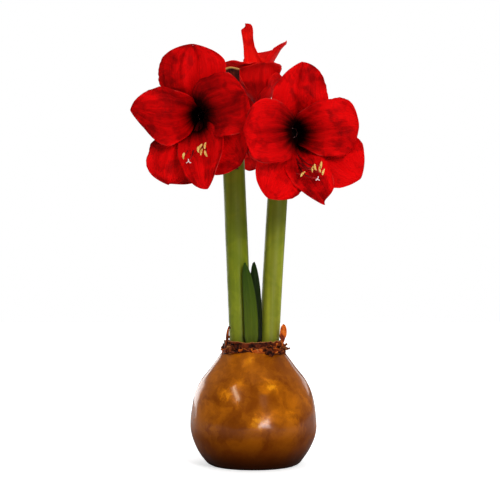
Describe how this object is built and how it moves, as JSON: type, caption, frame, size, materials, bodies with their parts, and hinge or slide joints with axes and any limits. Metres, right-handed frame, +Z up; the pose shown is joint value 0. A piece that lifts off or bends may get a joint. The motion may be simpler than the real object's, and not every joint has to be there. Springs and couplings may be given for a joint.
{
  "type": "waxed amaryllis bulb in flower",
  "caption": "Amaryllis bulb in a flat-footed copper-brown wax coat, with thick green stalks, large red trumpet blooms and young strap leaves, standing by itself.",
  "frame": {"origin": "centre of the flat foot of the wax coat, on the surface that the bulb stands on", "axes": "+Z up along the bulb, +X to the right of the shown side, which faces -Y"},
  "size_m": [0.2104, 0.2036, 0.4212],
  "materials": {
    "wax": "satin",
    "bulb_flesh": "matte",
    "dry_scales": "matte",
    "leaf": "satin",
    "dry_bract": "matte",
    "stalk": "satin",
    "petal": "satin"
  },
  "bodies": {
    "root": {"wax_coat": "wax", "bulb": "bulb_flesh", "papery_neck": "dry_scales", "leaf_front": "leaf", "leaf_back": "leaf", "bract_left_rear": "dry_bract", "bract_left_front": "dry_bract", "bract_right_side": "dry_bract", "bract_right_front": "dry_bract", "scape_left": "stalk", "scape_right": "stalk", "bloom_front_left": "petal", "bloom_front_right": "petal", "bloom_top": "petal", "bloom_rear": "petal"}
  },
  "joints": []
}
